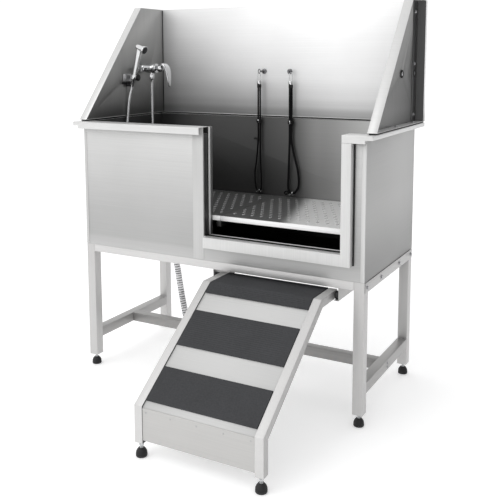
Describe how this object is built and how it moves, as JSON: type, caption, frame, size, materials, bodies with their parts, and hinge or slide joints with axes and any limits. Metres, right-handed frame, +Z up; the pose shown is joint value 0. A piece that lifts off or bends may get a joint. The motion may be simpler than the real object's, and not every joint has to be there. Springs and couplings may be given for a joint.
{
  "type": "pet grooming bathtub",
  "caption": "Stainless grooming tub on legs with a sliding door, splash walls, faucet with hand shower, restraint loops, floor grates and a slide-away ramp",
  "frame": {"origin": "centre of the bounding box's footprint, on the floor under the levelling feet", "axes": "+X along the tub towards its doorway end, +Y from the ramp towards the back splash, +Z up"},
  "size_m": [1.27, 1.104, 1.5],
  "materials": {
    "stainless": "brushed",
    "frame_steel": "brushed",
    "chrome": "polished",
    "rubber": "matt",
    "mat": "ribbed",
    "black_plastic": "matt",
    "webbing": "woven",
    "drain_hose": "corrugated",
    "seal": "matt"
  },
  "bodies": {
    "tub": {"basin": "stainless", "door_frame": "stainless", "drain_fitting": "chrome", "drain_hose": "drain_hose", "eye_bolt_left": "chrome", "eye_bolt_right": "chrome", "faucet_body": "chrome", "front_liner": "stainless", "grate_left": "stainless", "grate_right": "stainless", "hole_plug_1": "rubber", "hole_plug_2": "rubber", "leg_front_left": "frame_steel", "leg_front_right": "frame_steel", "leg_rear_left": "frame_steel", "leg_rear_right": "frame_steel", "rail_front": "frame_steel", "rail_rear": "frame_steel", "ramp_guide_left": "frame_steel", "ramp_guide_right": "frame_steel", "rim": "stainless", "shower_holder": "chrome", "shower_hose": "chrome", "side_rail_left": "frame_steel", "side_rail_right": "frame_steel", "splash_back": "stainless", "splash_gasket": "seal", "splash_left": "stainless", "splash_right": "stainless", "stretcher_left": "frame_steel", "stretcher_long": "frame_steel", "stretcher_right": "frame_steel"},
    "door": {"door": "stainless"},
    "ramp": {"ramp_rail_left": "frame_steel", "ramp_rail_right": "frame_steel", "ramp_deck": "stainless", "ramp_front_plate": "stainless", "ramp_mat_top": "mat", "ramp_mat_middle": "mat", "ramp_mat_lower": "mat"},
    "ramp_roller_left": {"ramp_roller_left": "black_plastic"},
    "ramp_roller_right": {"ramp_roller_right": "black_plastic"},
    "ramp_foot_left": {"ramp_foot_left": "rubber"},
    "ramp_foot_right": {"ramp_foot_right": "rubber"},
    "faucet_collar": {"faucet_collar": "chrome"},
    "faucet_lever": {"faucet_lever": "chrome"},
    "hand_shower": {"hand_shower": "chrome"},
    "drain_strainer": {"drain_strainer": "chrome"},
    "foot_front_left": {"foot_front_left": "rubber"},
    "foot_front_right": {"foot_front_right": "rubber"},
    "foot_rear_left": {"foot_rear_left": "rubber"},
    "foot_rear_right": {"foot_rear_right": "rubber"},
    "loop_left": {"snap_hook_left": "chrome", "restraint_strap_left": "webbing", "collar_clip_left": "chrome"},
    "slider_left": {"strap_slider_left": "chrome"},
    "loop_right": {"snap_hook_right": "chrome", "restraint_strap_right": "webbing", "collar_clip_right": "chrome"},
    "slider_right": {"strap_slider_right": "chrome"}
  },
  "joints": [
    {"name": "door_slide", "type": "slide", "parent": "tub", "child": "door", "axis": [1, 0, 0], "range_m": [0, 0.564]},
    {"name": "ramp_slide", "type": "slide", "parent": "tub", "child": "ramp", "axis": [0, 1, 0], "range_m": [0, 0.46]},
    {"name": "faucet_swivel", "type": "hinge", "parent": "tub", "child": "faucet_collar", "pos_m": [-0.527, 0.374, 1.234], "axis": [1, 0, 0], "range_deg": [-45, 45]},
    {"name": "faucet_lift", "type": "hinge", "parent": "faucet_collar", "child": "faucet_lever", "pos_m": [-0.507, 0.374, 1.234], "axis": [0, -1, 0], "range_deg": [0, 25]},
    {"name": "shower_lift", "type": "slide", "parent": "tub", "child": "hand_shower", "axis": [0.2639, 0, 0.9646], "range_m": [0, 0.08]},
    {"name": "strainer_lift", "type": "slide", "parent": "tub", "child": "drain_strainer", "axis": [0, 0, 1], "range_m": [0, 0.06]},
    {"name": "ramp_roller_left", "type": "hinge", "parent": "ramp", "child": "ramp_roller_left", "pos_m": [0.0125, -0.006, 0.459], "axis": [1, 0, 0], "continuous": true},
    {"name": "ramp_roller_right", "type": "hinge", "parent": "ramp", "child": "ramp_roller_right", "pos_m": [0.4995, -0.006, 0.459], "axis": [1, 0, 0], "continuous": true},
    {"name": "loop_swing_left", "type": "hinge", "parent": "tub", "child": "loop_left", "pos_m": [-0.08, 0.5055, 1.222], "axis": [-1, 0, 0], "range_deg": [0, 70]},
    {"name": "slider_travel_left", "type": "slide", "parent": "loop_left", "child": "slider_left", "axis": [0, 0, 1], "range_m": [0, 0.12]},
    {"name": "loop_swing_right", "type": "hinge", "parent": "tub", "child": "loop_right", "pos_m": [0.071, 0.5055, 1.222], "axis": [-1, 0, 0], "range_deg": [0, 70]},
    {"name": "slider_travel_right", "type": "slide", "parent": "loop_right", "child": "slider_right", "axis": [0, 0, 1], "range_m": [0, 0.12]},
    {"name": "foot_level_front_left", "type": "slide", "parent": "tub", "child": "foot_front_left", "axis": [0, 0, -1], "range_m": [0, 0.02]},
    {"name": "foot_level_front_right", "type": "slide", "parent": "tub", "child": "foot_front_right", "axis": [0, 0, -1], "range_m": [0, 0.02]},
    {"name": "foot_level_rear_left", "type": "slide", "parent": "tub", "child": "foot_rear_left", "axis": [0, 0, -1], "range_m": [0, 0.02]},
    {"name": "foot_level_rear_right", "type": "slide", "parent": "tub", "child": "foot_rear_right", "axis": [0, 0, -1], "range_m": [0, 0.02]},
    {"name": "ramp_foot_level_left", "type": "slide", "parent": "ramp", "child": "ramp_foot_left", "axis": [0, 0, -1], "range_m": [0, 0.02]},
    {"name": "ramp_foot_level_right", "type": "slide", "parent": "ramp", "child": "ramp_foot_right", "axis": [0, 0, -1], "range_m": [0, 0.02]}
  ],
  "couplings": [
    {"joint": "ramp_roller_left", "follows": "ramp_slide", "rad_per_m": -66.667},
    {"joint": "ramp_roller_right", "follows": "ramp_slide", "rad_per_m": -66.667}
  ]
}
